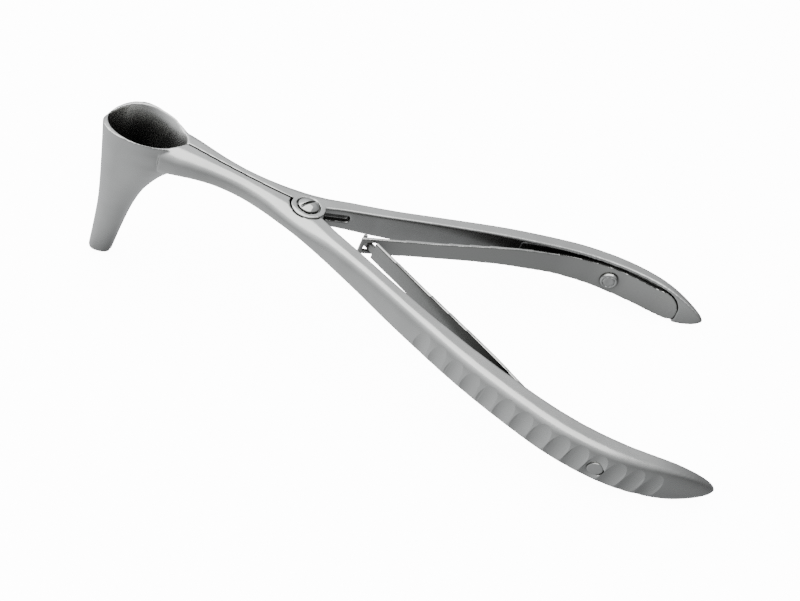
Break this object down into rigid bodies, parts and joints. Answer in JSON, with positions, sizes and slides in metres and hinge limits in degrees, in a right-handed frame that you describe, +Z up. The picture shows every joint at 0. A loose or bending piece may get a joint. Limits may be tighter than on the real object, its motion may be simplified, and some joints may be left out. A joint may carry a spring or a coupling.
{
  "type": "bivalve speculum",
  "caption": "Hand-held bivalve speculum: squeezing the long handles parts the two halves of a tapered funnel; leaf springs between the handles close it again.",
  "frame": {"origin": "centre of the part's bounding box in plan, on the level surface that the part stands on: the two lower valve tips and the two handle ends touch it", "axes": "+X from the funnel to the handle ends, +Y towards the right arm, +Z up away from the surface; the pivot axis leans 13.7 degrees from +Z towards +X"},
  "size_m": [0.1562, 0.068, 0.0411],
  "materials": {
    "satin_steel": "satin ground stainless steel",
    "spring_steel": "fine ground stainless spring steel",
    "polished_steel": "polished stainless steel"
  },
  "bodies": {
    "left_arm": {"left_arm": "satin_steel", "left_rivet": "polished_steel", "pivot_screw": "polished_steel"},
    "right_arm": {"right_arm": "satin_steel", "right_rivet": "polished_steel"},
    "left_spring": {"left_spring": "spring_steel"},
    "right_spring": {"right_spring": "spring_steel"}
  },
  "joints": [
    {"name": "handle_squeeze", "type": "hinge", "parent": "left_arm", "child": "right_arm", "pos_m": [-0.01965, 0, 0.02623], "axis": [-0.2375, 0, -0.9714], "range_deg": [0, 20], "stiffness_Nm_per_rad": 1.2, "springref_deg": -5.73},
    {"name": "right_spring_flex", "type": "hinge", "parent": "right_arm", "child": "right_spring", "pos_m": [0.05331, 0.02947, 0.00716], "axis": [-0.2375, 0, -0.9714], "range_deg": [0, 2.7]},
    {"name": "left_spring_flex", "type": "hinge", "parent": "left_arm", "child": "left_spring", "pos_m": [0.05331, -0.02947, 0.00716], "axis": [0.2375, 0, 0.9714], "range_deg": [0, 2.7]}
  ],
  "couplings": [
    {"joint": "right_spring_flex", "follows": "handle_squeeze", "ratio": 0.128},
    {"joint": "left_spring_flex", "follows": "handle_squeeze", "ratio": 0.128}
  ]
}
